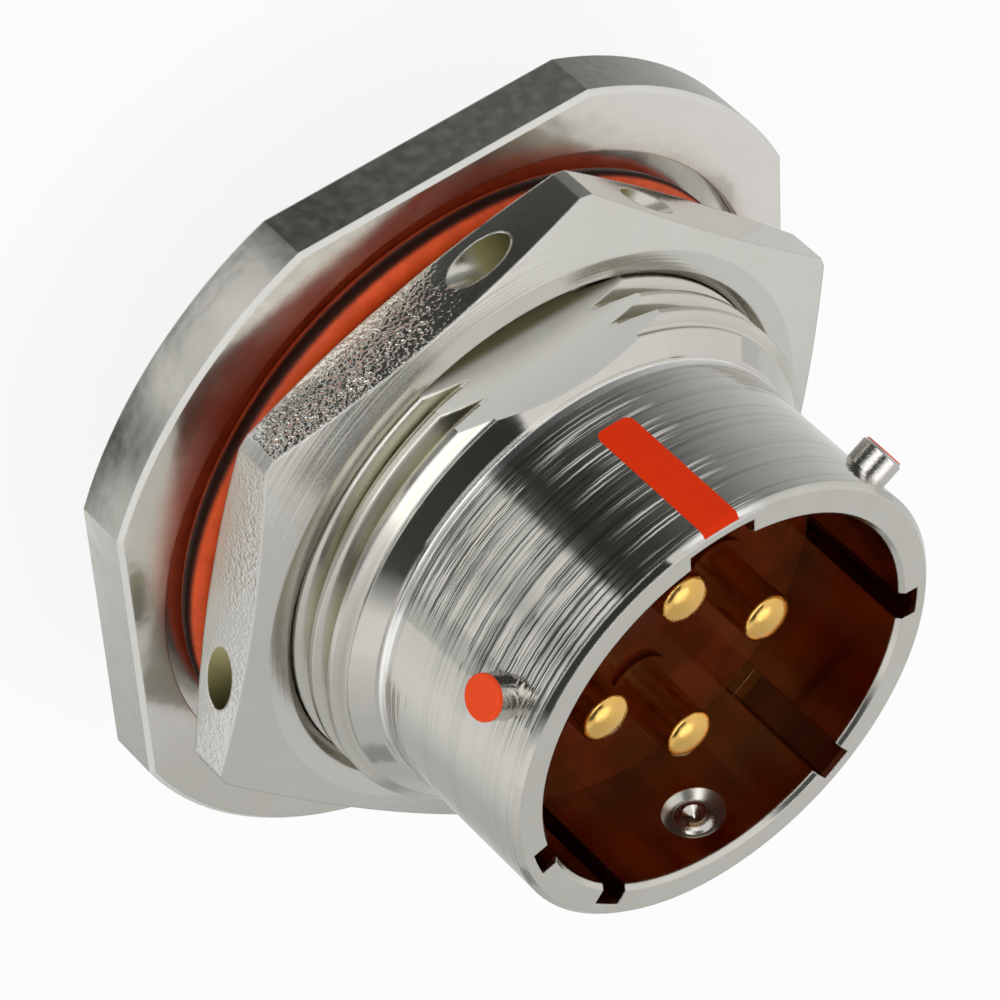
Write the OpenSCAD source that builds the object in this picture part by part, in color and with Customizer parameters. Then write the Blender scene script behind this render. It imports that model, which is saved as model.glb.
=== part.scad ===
// Hermetic panel connector, size 14, with a bayonet coupling and four contacts.
// The shell drops through a D-shaped panel hole from behind. Its flange and
// O-ring seal on the back of the panel, and a hexagonal jam nut clamps the front.
// Frame: origin at the centre of the flange's front face, +Z out of the mouth,
// +Y through the master keyway. All sizes are in millimetres.

/* [Flange] */
// Width of the flange outside the O-ring groove, at the middle of each flat
flange_lip = 1.6; // [1:0.05:3]
// How far the flange's round corners stand out past its flats
flange_corner = 1.5; // [0.8:0.05:2.4]
// Thickness of the flange
flange_t = 2.8; // [2:0.1:4]
// Width of the broken edges of the flange
flange_edge = 0.2; // [0.1:0.05:0.5]

/* [O-ring and its groove] */
// Width of flange face between the thread and the groove's inner wall
groove_in = 0.65; // [0.4:0.05:1.2]
// Thickness of the O-ring's cord, which sits on the groove's inner wall
ring_cord = 1.78; // [1.5:0.02:2]
// Room in the groove outside the O-ring, which its squeeze fills
groove_room = 0.92; // [0.5:0.02:1.4]
// Depth of the groove below the flange face
groove_depth = 0.75; // [0.5:0.05:1.2]

/* [Panel thread] */
// Major diameter of the thread
thread_d = 25.4; // [25:0.05:25.6]
// Distance from one thread crest to the next
thread_pitch = 1.27; // [1.1:0.01:1.5]
// Depth of the thread
thread_depth = 0.72; // [0.5:0.01:0.75]
// Width of the flat on each crest
crest_w = 0.28; // [0.16:0.02:0.4]
// Height of the last crest's upper edge above the flange face
thread_end = 7.15; // [6.8:0.05:7.6]
// Length of plain root between the last crest's flank and the lead-in bevel
runout = 0.15; // [0.05:0.05:0.4]
// Height of the plain land beside the flange, which locates the panel hole
land_h = 0.95; // [0.6:0.05:1.2]
// Depth of the flat that stops the shell turning in the panel, below the crests
flat_depth = 1.15; // [0.8:0.05:1.3]

/* [Mating barrel] */
// Outer diameter of the barrel
barrel_d = 22.22; // [21.8:0.02:22.8]
// Depth below the crests at which the lead-in bevel to the barrel starts
lead_in_drop = 0.57; // [0.45:0.01:0.7]
// Length of the lead-in bevel, with the fillet at the barrel
lead_in = 0.97; // [0.7:0.01:1.4]
// Height of the mouth above the flange face
mouth_z = 17.68; // [17.2:0.02:20]
// Thickness of the barrel's wall
barrel_wall = 1.61; // [1.3:0.01:1.9]
// Width of the bevel round the outside of the mouth
mouth_bevel = 0.26; // [0.1:0.02:0.5]
// Width of the bevel round the inside of the mouth
bore_bevel = 0.2; // [0.05:0.05:0.3]

/* [Keyways] */
// Depth of each keyway into the barrel's wall
keyway_depth = 0.91; // [0.6:0.01:1.1]
// Width of the master keyway
master_w = 3.32; // [2.8:0.02:3.6]
// Width of each of the four minor keyways
minor_w = 1.54; // [1.2:0.02:2]

/* [Seal and header] */
// Height of the interfacial seal's front face above the flange face
seal_z = 11.4; // [10.8:0.1:12.4]
// Thickness of the interfacial seal
seal_t = 1.8; // [1.2:0.1:2.4]
// Height of the moisture barrier that rings each pin
barrier_h = 0.25; // [0.1:0.05:0.5]
// Width of that barrier round the pin
barrier_w = 0.45; // [0.3:0.05:0.8]
// Thickness of the shell's header web, which holds the glass
web_t = 4.2; // [3.4:0.1:5]
// Diameter of each glass bead
bead_d = 4.9; // [4.4:0.05:5.3]
// How far the glass creeps in from each face of the web
glass_dip = 0.3; // [0.1:0.05:0.5]

/* [Rear end] */
// Outer diameter of the rear collar
collar_d = 24.4; // [23:0.1:26]
// Length of the rear collar behind the flange
collar_len = 3.4; // [2.6:0.1:5]
// Width of the break on the rear collar's outer edge
collar_edge = 0.4; // [0.2:0.05:0.7]
// Thickness of the rear collar's wall
collar_wall = 2; // [1.6:0.1:2.4]
// Width of the bevel round the inside of the well
well_bevel = 0.3; // [0.1:0.05:0.6]

/* [Contacts] */
// Distance between neighbouring contacts on their square
contact_pitch = 6.1; // [5.9:0.02:6.3]
// Diameter of each mating pin
pin_d = 2.39; // [2.3:0.01:2.6]
// Depth of the pin tips below the mouth
tip_in = 2.18; // [1.2:0.02:3]
// Height of each pin's rounded nose
nose_h = 0.55; // [0.2:0.05:1.2]
// Diameter of the shank that carries each pin through the seal and the glass
shank_d = 2; // [1.7:0.05:2.05]
// Diameter of the hole in each solder cup
cup_bore = 2.4; // [2:0.05:2.6]
// Thickness of each solder cup's wall
cup_wall = 0.45; // [0.35:0.05:0.7]
// Depth of the hole in each solder cup
cup_depth = 5.2; // [4.4:0.1:6]
// Length of the slot that opens one side of each cup
cup_slot = 3; // [2:0.1:4]
// Thickness of the solid floor between the hole and the shoulder
cup_floor = 1.4; // [0.8:0.1:2]
// How far the cups' ends stand out behind the collar
cup_out = 4.2; // [3:0.1:6]

/* [Bayonet pins] */
// Diameter of the bayonet pins
bayonet_d = 2; // [1.8:0.05:2.3]
// How far each bayonet pin stands out of the barrel
bayonet_out = 1.14; // [0.9:0.02:1.4]
// Distance from the mouth to the bayonet pins' axes
bayonet_in = 2.49; // [1.9:0.01:2.9]
// Width of the countersink round each pin's inner end
bayonet_sink = 0.35; // [0.2:0.05:0.5]

/* [Jam nut] */
// Thickness of the nut's wall, from the thread's crests to a flat
nut_wall = 2.39; // [2:0.01:3]
// Thickness of the nut
nut_t = 3.5; // [3:0.1:4.2]
// Gap between the flange face and the nut, which is room for the panel
nut_gap = 1.35; // [1.15:0.05:3]
// How far the nut's conical bevels start in from its flats
nut_bevel_in = 0.89; // [0.3:0.01:1.2]
// Slope of the nut's conical bevels, in degrees
nut_bevel_angle = 15; // [10:1:30]
// Angle of one of the nut's corners from the +X axis
nut_angle = 76.5; // [60:0.5:119]
// Radius that rounds each corner of the nut
nut_corner_r = 1.2; // [0.4:0.1:2]
// Diameter of the three lockwire holes
lockwire_d = 1.65; // [1.2:0.05:1.75]
// Distance along a flat from the nut's corner to a lockwire hole
lockwire_in = 5.2; // [4.8:0.1:5.6]
// Height of the lockwire holes above the nut's rear face
lockwire_z = 1.7; // [1.5:0.05:2]
// Radial clearance between the thread's crests and the nut's bore
nut_clearance = 0.05; // [0.03:0.01:0.08]
// Width of the countersink at each end of the nut's bore
nut_sink = 0.45; // [0.1:0.05:0.6]

/* [Hidden] */
$fn = 96;

nickel = [0.78, 0.77, 0.73];
gold = [0.87, 0.68, 0.28];
orange_rubber = [0.80, 0.25, 0.10];
sealing_glass = [0.15, 0.22, 0.24];

// the overshoot of a cut past the face that it opens
over = 1;
// the master keyway and the bayonet pins are set out from the +Y axis
master_angle = 90;
minor_angles = [105, 140, 215, 265];
bayonet_angles = [60, 180, 300];
// contacts a to d stand on the axes at the corners of a square
contact_angles = [90, 0, 270, 180];
contact_r = contact_pitch / sqrt(2);

ring_id = thread_d + 2 * groove_in;
groove_od = ring_id + 2 * (ring_cord + groove_room);
flange_flats = groove_od + 2 * flange_lip;
flange_d = flange_flats + 2 * flange_corner;

thread_root_r = thread_d / 2 - thread_depth;
flank = thread_depth * tan(30);
ridges = floor((thread_end - land_h - crest_w - 2 * flank) / thread_pitch) + 1;
d_flat = thread_d / 2 - flat_depth;
lead_in_r = thread_d / 2 - lead_in_drop;
lead_in_z = thread_end + lead_in_drop * tan(30) + runout;
barrel_root = lead_in_z + lead_in;
root_fillet = 0.2;
collar_end = -flange_t - collar_len;
well_d = collar_d - 2 * collar_wall;

mouth_d = barrel_d - 2 * barrel_wall;
bore_r = mouth_d / 2;
keyway_r = bore_r + keyway_depth;
web_front = seal_z - seal_t;
web_back = web_front - web_t;
barrier_d = pin_d + 2 * barrier_w;

pin_root = seal_z + barrier_h;
pin_tip = mouth_z - tip_in;
// each cup is joined to its shank by a 45 degree shoulder
cup_d = cup_bore + 2 * cup_wall;
cup_end = cup_out - collar_end;
cup_top = -cup_end + cup_depth + cup_floor;
cup_neck = (cup_d - shank_d) / 2;
cup_lip = 0.25;

bayonet_z = mouth_z - bayonet_in;
bayonet_end = barrel_d / 2 + bayonet_out;
bayonet_edge = 0.15;
// how far each pin's riveted inner end stands in from the bore, and its dome's height
rivet_in = 0.05;
rivet_dome = 0.4;
// depth of the dent that the staking punch leaves in the middle of that end
dent_depth = 0.35;

nut_flats = thread_d + 2 * nut_wall;
nut_face_d = nut_flats - 2 * nut_bevel_in;
nut_bore_r = thread_d / 2 + nut_clearance;
nut_corner = nut_flats / 2 / cos(30);

// turns a sub-part to an angle about the connector's axis
module at_angle(a) rotate([0, 0, a]) children();

// ---- shell: one turned piece with its flange, thread, header web and barrel ----

// one ridge of the thread, from the foot of its lower flank up to its crest
function ridge(i) = let (z = thread_end - i * thread_pitch) [
    [thread_root_r, z - crest_w - flank], [thread_d / 2, z - crest_w],
    [thread_d / 2, z], if (i > 0) [thread_root_r, z + flank]];

module turned_profile() polygon([
    [0, collar_end],
    [collar_d / 2 - collar_edge, collar_end],
    [collar_d / 2, collar_end + collar_edge],
    [collar_d / 2, -flange_t],
    [flange_d / 2 - flange_edge, -flange_t],
    [flange_d / 2, -flange_t + flange_edge],
    [flange_d / 2, -flange_edge],
    [flange_d / 2 - flange_edge, 0],
    [thread_d / 2, 0],
    [thread_d / 2, land_h],
    [thread_root_r, land_h + flank],
    for (i = [ridges - 1 : -1 : 0]) each ridge(i),
    [lead_in_r, lead_in_z - runout],
    [lead_in_r, lead_in_z],
    // the fillet where the lead-in bevel meets the barrel
    for (t = [90 : -30 : 0]) [barrel_d / 2 + root_fillet * (1 - cos(t)),
        barrel_root - root_fillet * sin(t)],
    [barrel_d / 2, mouth_z - mouth_bevel],
    [barrel_d / 2 - mouth_bevel, mouth_z],
    [0, mouth_z]]);

// a bar along X whose cross-section is the flange with its long edges broken
module flange_bar(low, high) rotate([90, 0, 90])
    translate([0, 0, -flange_d])
    linear_extrude(2 * flange_d) polygon([
        [-flange_flats / 2, low + flange_edge], [-flange_flats / 2 + flange_edge, low],
        [flange_flats / 2 - flange_edge, low], [flange_flats / 2, low + flange_edge],
        [flange_flats / 2, high - flange_edge], [flange_flats / 2 - flange_edge, high],
        [-flange_flats / 2 + flange_edge, high], [-flange_flats / 2, high - flange_edge]]);

// everything outside the flange's four flats
module flat_cuts() difference() {
    translate([-flange_d, -flange_d, -flange_t - over])
        cube([2 * flange_d, 2 * flange_d, flange_t + 2 * over]);
    intersection() {
        flange_bar(-flange_t, 0);
        at_angle(90) flange_bar(-flange_t, 0);
    }
    translate([0, 0, -flange_t - 2 * over])
        cylinder(r = groove_od / 2, h = flange_t + 4 * over);
}

module o_ring_groove() translate([0, 0, -groove_depth]) difference() {
    cylinder(d = groove_od, h = groove_depth + over);
    translate([0, 0, -over]) cylinder(d = ring_id, h = groove_depth + 3 * over);
}

// the flat along the thread, on the master keyway's side
module d_flat_cut() translate([-flange_d / 2, d_flat, 0])
    cube([flange_d, thread_d, barrel_root]);

module mouth_bore() rotate_extrude() polygon([
    [0, web_front], [bore_r, web_front], [bore_r, mouth_z - bore_bevel],
    [bore_r + bore_bevel, mouth_z], [bore_r + bore_bevel, mouth_z + over], [0, mouth_z + over]]);

module rear_well() rotate_extrude() polygon([
    [0, web_back], [well_d / 2, web_back], [well_d / 2, collar_end + well_bevel],
    [well_d / 2 + well_bevel, collar_end], [well_d / 2 + well_bevel, collar_end - over],
    [0, collar_end - over]]);

// one keyway, cut from the mouth down to the seal
module keyway(a, w) at_angle(a) intersection() {
    translate([0, -w / 2, seal_z]) cube([keyway_r + over, w, mouth_z]);
    translate([0, 0, seal_z]) cylinder(r = keyway_r, h = mouth_z);
}

module bayonet_hole(a) at_angle(master_angle + a) translate([0, 0, bayonet_z])
    rotate([0, 90, 0]) {
        cylinder(d = bayonet_d, h = barrel_d);
        translate([0, 0, bore_r - bayonet_sink]) cylinder(d1 = bayonet_d + 4 * bayonet_sink,
            d2 = bayonet_d, h = 2 * bayonet_sink);
    }

module shell() color(nickel) difference() {
    rotate_extrude($fn = 180) turned_profile();
    flat_cuts();
    o_ring_groove();
    d_flat_cut();
    mouth_bore();
    rear_well();
    keyway(master_angle, master_w);
    for (a = minor_angles) keyway(master_angle + a, minor_w);
    for (a = bayonet_angles) bayonet_hole(a);
    for (a = contact_angles) at_angle(a)
        translate([contact_r, 0, web_back - over]) cylinder(d = bead_d, h = web_t + 2 * over);
}

// ---- jam nut: a hexagon with conical bevels, a clear bore and lockwire holes ----

// the hexagon, with its corners turned off round
module hexagon_plan() intersection() {
    circle(r = nut_corner, $fn = 6);
    circle(r = nut_corner - nut_corner_r * (1 / cos(30) - 1), $fn = 180);
}

module nut_envelope() {
    drop = (nut_corner - nut_face_d / 2) * tan(nut_bevel_angle);
    rotate_extrude($fn = 180) polygon([
        [0, 0], [nut_face_d / 2, 0], [nut_corner, drop],
        [nut_corner, nut_t - drop], [nut_face_d / 2, nut_t], [0, nut_t]]);
}

module nut_bore() rotate_extrude($fn = 180) polygon([
    [0, -over], [nut_bore_r + nut_sink, -over], [nut_bore_r + nut_sink, 0],
    [nut_bore_r, nut_sink], [nut_bore_r, nut_t - nut_sink],
    [nut_bore_r + nut_sink, nut_t], [nut_bore_r + nut_sink, nut_t + over], [0, nut_t + over]]);

// a hole drilled across one corner, from flat to flat
module lockwire_hole(a) at_angle(a)
    translate([nut_corner - lockwire_in * cos(60), 0, lockwire_z])
    rotate([90, 0, 0]) cylinder(d = lockwire_d, h = nut_flats, center = true);

module jam_nut() color(nickel) translate([0, 0, nut_gap]) at_angle(nut_angle) difference() {
    intersection() {
        linear_extrude(nut_t) hexagon_plan();
        nut_envelope();
    }
    nut_bore();
    for (a = [0, 120, 240]) lockwire_hole(a);
}

// ---- seals ----

module o_ring() color(orange_rubber)
    translate([0, 0, ring_cord / 2 - groove_depth])
    rotate_extrude($fn = 180) translate([(ring_id + ring_cord) / 2, 0]) circle(d = ring_cord, $fn = 48);

module interfacial_seal() color(orange_rubber) difference() {
    union() {
        translate([0, 0, web_front]) cylinder(d = mouth_d, h = seal_t);
        for (a = contact_angles) at_angle(a) translate([contact_r, 0, web_front])
            cylinder(d = barrier_d, h = seal_t + barrier_h);
    }
    for (a = contact_angles) at_angle(a) translate([contact_r, 0, web_front - over])
        cylinder(d = shank_d, h = seal_t + barrier_h + 2 * over);
}

// glass fused between the web and one contact, dished where it wets the metal
module glass_bead(a) color(sealing_glass) at_angle(a) translate([contact_r, 0, 0])
    rotate_extrude() polygon([
        [shank_d / 2, web_back], [(shank_d + bead_d) / 4, web_back + glass_dip], [bead_d / 2, web_back],
        [bead_d / 2, web_front], [(shank_d + bead_d) / 4, web_front - glass_dip],
        [shank_d / 2, web_front]]);

// ---- contacts: a round-ended pin in front, a solder cup behind ----

module contact_profile() polygon([
    [0, cup_depth - cup_end],
    [cup_bore / 2, cup_depth - cup_end],
    [cup_bore / 2, -cup_end],
    [cup_d / 2 - cup_lip, -cup_end],
    [cup_d / 2, cup_lip - cup_end],
    [cup_d / 2, cup_top],
    [shank_d / 2, cup_top + cup_neck],
    [shank_d / 2, pin_root],
    [pin_d / 2, pin_root],
    for (t = [0 : 6 : 90]) [pin_d / 2 * cos(t), pin_tip - nose_h * (1 - sin(t))]]);

module contact(a) color(gold) at_angle(a) translate([contact_r, 0, 0]) difference() {
    rotate_extrude($fn = 64) contact_profile();
    translate([cup_bore / 4, -cup_bore / 2, -cup_end - over])
        cube([cup_d, cup_bore, cup_slot + over]);
}

// ---- bayonet pins: set through the barrel's wall and staked inside ----

module bayonet_pin(a) color(nickel) at_angle(master_angle + a) translate([0, 0, bayonet_z])
    rotate([0, 90, 0]) rotate_extrude($fn = 64) polygon([
        [0, bore_r - rivet_in + dent_depth],
        for (t = [30 : 15 : 90])
            [bayonet_d / 2 * sin(t), bore_r - rivet_in + rivet_dome * (1 - cos(t))],
        [bayonet_d / 2, bayonet_end - bayonet_edge],
        [bayonet_d / 2 - bayonet_edge, bayonet_end],
        [0, bayonet_end]]);

shell();
jam_nut();
o_ring();
interfacial_seal();
glass_bead(contact_angles[0]);  // glass_bead_a
glass_bead(contact_angles[1]);  // glass_bead_b
glass_bead(contact_angles[2]);  // glass_bead_c
glass_bead(contact_angles[3]);  // glass_bead_d
contact(contact_angles[0]);  // contact_a
contact(contact_angles[1]);  // contact_b
contact(contact_angles[2]);  // contact_c
contact(contact_angles[3]);  // contact_d
bayonet_pin(bayonet_angles[0]);  // bayonet_pin_left
bayonet_pin(bayonet_angles[2]);  // bayonet_pin_right
bayonet_pin(bayonet_angles[1]);  // bayonet_pin_bottom
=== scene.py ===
# %% [markdown]
# # A sealed panel connector, from plain solids to finished metal
# The object is a small round connector for a panel: a nickel plated shell with a D-shaped
# thread, a hexagonal jam nut, an O-ring in the flange, and four gold pins in a red seal.
# Its solids come from a CAD model, already the right shape and size. This lesson gives them
# their finishes, adds the paint that a solid model lacks, and sets up a small studio.
# The first step loads the solids. They arrive in metres, each with its place in its mesh.

# %% Load the CAD frame
import bpy, bmesh, math
from mathutils import Matrix, Vector


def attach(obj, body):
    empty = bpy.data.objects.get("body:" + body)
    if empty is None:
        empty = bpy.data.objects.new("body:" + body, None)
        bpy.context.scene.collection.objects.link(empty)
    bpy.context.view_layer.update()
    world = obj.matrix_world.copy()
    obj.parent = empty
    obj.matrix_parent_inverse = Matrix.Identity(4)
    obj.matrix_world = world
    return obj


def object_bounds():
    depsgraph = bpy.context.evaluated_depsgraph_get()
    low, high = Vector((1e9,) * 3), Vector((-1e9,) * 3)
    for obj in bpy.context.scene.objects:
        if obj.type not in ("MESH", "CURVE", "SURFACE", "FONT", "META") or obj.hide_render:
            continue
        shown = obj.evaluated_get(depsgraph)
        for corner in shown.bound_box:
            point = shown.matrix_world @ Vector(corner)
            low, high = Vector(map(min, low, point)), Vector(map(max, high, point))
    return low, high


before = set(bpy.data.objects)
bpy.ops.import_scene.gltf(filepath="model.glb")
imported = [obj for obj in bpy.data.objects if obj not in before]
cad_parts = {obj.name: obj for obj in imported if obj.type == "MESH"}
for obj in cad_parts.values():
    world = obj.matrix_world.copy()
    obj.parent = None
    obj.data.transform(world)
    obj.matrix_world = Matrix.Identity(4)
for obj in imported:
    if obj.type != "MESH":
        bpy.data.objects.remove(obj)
cad_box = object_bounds()
mm = 0.001

# %% [markdown]
# ## The camera
# A part this small is best seen through a long lens, which keeps its edges nearly parallel.
# The camera stands a quarter of a metre away and looks down on the master keyway.
# It could be aimed with a Track To constraint, but a plain matrix says the same with no
# helper object: first the direction of the look, then a roll about the line of sight.

# %% Set up the camera
def aimed(place, look, roll):
    """The matrix of something at a place that looks along look, rolled by degrees."""
    turn = Vector(look).to_track_quat("-Z", "Y").to_matrix().to_4x4()
    return Matrix.Translation(place) @ turn @ Matrix.Rotation(math.radians(roll), 4, "Z")

camera_place = Vector((-92.9, 177.19, 136.4)) * mm
camera_look = (0.38510, -0.73624, -0.55646)
camera_roll = 132.93  # degrees about the line of sight

camera = bpy.data.objects.new("camera", bpy.data.cameras.new("camera"))
camera.matrix_world = aimed(camera_place, camera_look, camera_roll)
camera.data.lens = 201.2
camera.data.sensor_width = 36
camera.data.clip_start = 0.02
bpy.context.scene.collection.objects.link(camera)
bpy.context.scene.camera = camera
bpy.context.scene.view_settings.view_transform = "Standard"
print("camera distance, mm:", round(camera_place.length / mm, 1))

# %% [markdown]
# ## White for the eye, softer for the light
# Polished metal has no look of its own: it shows the room. So this studio needs a pure white
# that the eye and the mirrors see, but not so much light that the paint bleaches. More lamps
# can't give both. The Light Path node can: it tells which kind of ray has arrived, and the
# floor and the sky answer each kind in its own way.

# %% Tell the rays that see from the rays that carry light
def add_node(tree, kind, **settings):
    node = tree.nodes.new(kind)
    for key, value in settings.items():
        setattr(node, key, value)
    return node

def wire(tree, *pairs):
    """Links each source to its socket."""
    for source, socket in pairs:
        tree.links.new(source, socket)

def blank_material(name):
    """A material with an empty node tree."""
    material = bpy.data.materials.new(name)
    material.use_nodes = True
    material.node_tree.nodes.clear()
    return material, material.node_tree

def seen_rays(tree):
    """1 for the rays of the camera, of mirrors and of glass, and 0 for those that carry light."""
    path = add_node(tree, "ShaderNodeLightPath")
    both = add_node(tree, "ShaderNodeMath", operation="MAXIMUM")
    every = add_node(tree, "ShaderNodeMath", operation="MAXIMUM")
    wire(tree, (path.outputs["Is Camera Ray"], both.inputs[0]),
         (path.outputs["Is Glossy Ray"], both.inputs[1]),
         (both.outputs[0], every.inputs[0]),
         (path.outputs["Is Transmission Ray"], every.inputs[1]))
    return every.outputs[0]

print("rays that see: camera, glossy, transmission")

# %% [markdown]
# ## The floor
# The connector stands on the ends of its solder cups, mouth up. The floor is a plain pale
# sheet, wide enough that no view finds its edge. A white sheet could be burned out with more
# light, but that would bleach the plating too. So most of the floor shines with a strength
# of 1, just for the rays that look at it or mirror it, and the rest of it is a matt white
# that still catches the connector's soft shadow.

# %% Lay the floor
lowest = cad_box[0][2]
floor_reach = 3  # metres from the middle to each side
matt_white = (0.86, 0.86, 0.86, 1)
shining_share = 0.86
pure_white = (1, 1, 1, 1)

def floor_white():
    material, tree = blank_material("floor_white")
    matt = add_node(tree, "ShaderNodeBsdfDiffuse")
    matt.inputs["Color"].default_value = matt_white
    shine = add_node(tree, "ShaderNodeEmission")
    shine.inputs["Color"].default_value = pure_white
    share = add_node(tree, "ShaderNodeMath", operation="MULTIPLY")
    share.inputs[1].default_value = shining_share
    mix = add_node(tree, "ShaderNodeMixShader")
    out = add_node(tree, "ShaderNodeOutputMaterial")
    wire(tree, (seen_rays(tree), share.inputs[0]), (share.outputs[0], mix.inputs["Fac"]),
         (matt.outputs[0], mix.inputs[1]), (shine.outputs[0], mix.inputs[2]),
         (mix.outputs[0], out.inputs["Surface"]))
    return material

def object_from(shape, name, material):
    """Turns a bmesh into an object with a material."""
    mesh = bpy.data.meshes.new(name)
    shape.to_mesh(mesh)
    shape.free()
    mesh.materials.append(material)
    piece = bpy.data.objects.new(name, mesh)
    bpy.context.scene.collection.objects.link(piece)
    return piece

shape = bmesh.new()
bmesh.ops.create_grid(shape, x_segments=1, y_segments=1, size=floor_reach,
                      matrix=Matrix.Translation((0, 0, lowest)))
floor = object_from(shape, "floor", floor_white())
print("floor height, mm:", round(lowest / mm, 2))

# %% [markdown]
# ## The sky
# The room round the connector is a white sky, which the eye and the mirrors see at a strength
# of 1. An image of a real studio could do this, but it would bring its own shapes and tints.
# For the rays that carry light to the paint and the rubber the sky is softer, so that the
# lamps can give the shapes some direction.

# %% Hang the sky
sky_tint = (0.98, 0.99, 1.0, 1)
sky_strength = 0.8

world = bpy.data.worlds.new("studio")
bpy.context.scene.world = world
world.use_nodes = True
tree = world.node_tree
tree.nodes.clear()
soft_sky = add_node(tree, "ShaderNodeBackground")
soft_sky.inputs["Color"].default_value = sky_tint
soft_sky.inputs["Strength"].default_value = sky_strength
white_sky = add_node(tree, "ShaderNodeBackground")
white_sky.inputs["Color"].default_value = pure_white
sky_mix = add_node(tree, "ShaderNodeMixShader")
sky_out = add_node(tree, "ShaderNodeOutputWorld")
wire(tree, (seen_rays(tree), sky_mix.inputs["Fac"]), (soft_sky.outputs[0], sky_mix.inputs[1]),
     (white_sky.outputs[0], sky_mix.inputs[2]), (sky_mix.outputs[0], sky_out.inputs["Surface"]))
print("sky strength:", sky_strength)

# %% [markdown]
# ## The lamps
# Two soft lamps shape the paint and the rubber: a wide one beside the lens, and a round one
# overhead. Small bright lamps would do the same with fewer watts, but they would show in the
# metal as glare. Each of these is dim for its size, so that it shows as a soft white field.

# %% Light the studio
lamp_distance = 0.45

def towards(azimuth, height, distance):
    """A place seen from the connector at an azimuth and height in degrees, in metres."""
    a, h = math.radians(azimuth), math.radians(height)
    return Vector((math.cos(h) * math.cos(a), math.cos(h) * math.sin(a), math.sin(h))) * distance

def soft_lamp(name, place, width, height, watts):
    data = bpy.data.lights.new(name, "AREA")
    data.shape, data.size, data.size_y, data.energy = "ELLIPSE", width, height, watts
    lamp = bpy.data.objects.new(name, data)
    lamp.matrix_world = aimed(place, -place, 0)
    bpy.context.scene.collection.objects.link(lamp)
    return lamp

lamps = [soft_lamp("front_lamp", towards(128, 26, lamp_distance),
                   width=0.56, height=0.4, watts=0.55),
         soft_lamp("top_lamp", towards(300, 84, lamp_distance),
                   width=0.32, height=0.32, watts=0.24)]
print("lamps, W:", [round(lamp.data.energy, 2) for lamp in lamps])

# %% [markdown]
# ## Flags
# With white on every side, plated metal turns flat and chalky. In a studio, grey and black
# cards, called flags, stand round the lens, and their reflections draw the bands that make
# metal look round. Here they could be black planes, but the finish needs soft changes from
# dark to pale. So each card is clear where it should not show, and a colour ramp over the
# angle round the connector says how much it covers. Only mirrors see the cards, so they cast
# no shadow and take no light from the paint and the rubber.

# %% A card whose cover follows the angle
card_black = (0.02, 0.022, 0.02, 1)

def card(name, stops):
    """A black card; stops are pairs of degrees and cover, from clear at 0 to black at 1."""
    material, tree = blank_material(name)
    place = add_node(tree, "ShaderNodeTexCoord")
    split = add_node(tree, "ShaderNodeSeparateXYZ")
    angle = add_node(tree, "ShaderNodeMath", operation="ARCTAN2")
    turn = add_node(tree, "ShaderNodeMapRange")
    turn.inputs["From Min"].default_value = -math.pi
    turn.inputs["From Max"].default_value = math.pi
    cover = add_node(tree, "ShaderNodeValToRGB")
    ramp = cover.color_ramp
    while len(ramp.elements) < len(stops):
        ramp.elements.new(0.5)
    # all the places first, then the greys: a ramp sorts its elements while they move
    for element, (degrees, grey) in zip(ramp.elements, stops):
        element.position = (degrees + 180) / 360
    for element, (degrees, grey) in zip(ramp.elements, stops):
        element.color = (grey, grey, grey, 1)
    clear = add_node(tree, "ShaderNodeBsdfTransparent")
    black = add_node(tree, "ShaderNodeEmission")
    black.inputs["Color"].default_value = card_black
    mix = add_node(tree, "ShaderNodeMixShader")
    out = add_node(tree, "ShaderNodeOutputMaterial")
    wire(tree, (place.outputs["Object"], split.inputs[0]), (split.outputs["Y"], angle.inputs[0]),
         (split.outputs["X"], angle.inputs[1]), (angle.outputs[0], turn.inputs["Value"]),
         (turn.outputs["Result"], cover.inputs["Fac"]), (cover.outputs["Color"], mix.inputs["Fac"]),
         (clear.outputs[0], mix.inputs[1]), (black.outputs[0], mix.inputs[2]),
         (mix.outputs[0], out.inputs["Surface"]))
    return material

print("card colour:", card_black[:3])

# %% [markdown]
# ### Spinning the cards
# Nearly every shape here is round, so one helper spins a line of points about the axis. It
# makes the cards now and the stripe of paint later. A Screw modifier could do the same, but
# the operator gives a plain mesh at once. After a full turn it merges the last line of points
# into the first. Radii and heights are in metres, as everything in the scene is.

# %% Spin a line into a strip
card_steps = 48

def spun_strip(shape, section, from_angle, to_angle, steps):
    """Spins a line of (radius, height) points about Z from one angle to the other."""
    spots = [shape.verts.new(Matrix.Rotation(from_angle, 3, "Z") @ Vector((r, 0, z)))
             for r, z in section]
    line = [shape.edges.new(pair) for pair in zip(spots, spots[1:])]
    turn = to_angle - from_angle
    bmesh.ops.spin(shape, geom=spots + line, cent=(0, 0, 0), axis=(0, 0, 1), angle=turn,
                   steps=steps, use_merge=abs(turn - 2 * math.pi) < 1e-6, use_duplicate=False)

def flag(name, section, from_degrees, to_degrees, stops):
    shape = bmesh.new()
    spun_strip(shape, section, math.radians(from_degrees), math.radians(to_degrees), card_steps)
    piece = object_from(shape, name, card(name + "_card", stops))
    piece.visible_camera = piece.visible_diffuse = piece.visible_shadow = False
    return piece

print("steps in each card:", card_steps)

# %% [markdown]
# ### Cards on the floor
# Two rings lie on the floor. The inner one shows in the flange's side and the nut's flats.
# The outer one, which ends in a low wall at the horizon, shows in the thread and the barrel.
# Both are nearly black on the side of the lens, clear in a gap that draws the bright band
# beside the stripe, and pale behind. Painting the bands on the metal would be simpler, but
# they would stay put when the connector turns. Three shorter strips, just above the rings,
# break up what the lathe's marks and the pits throw back.

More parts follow.
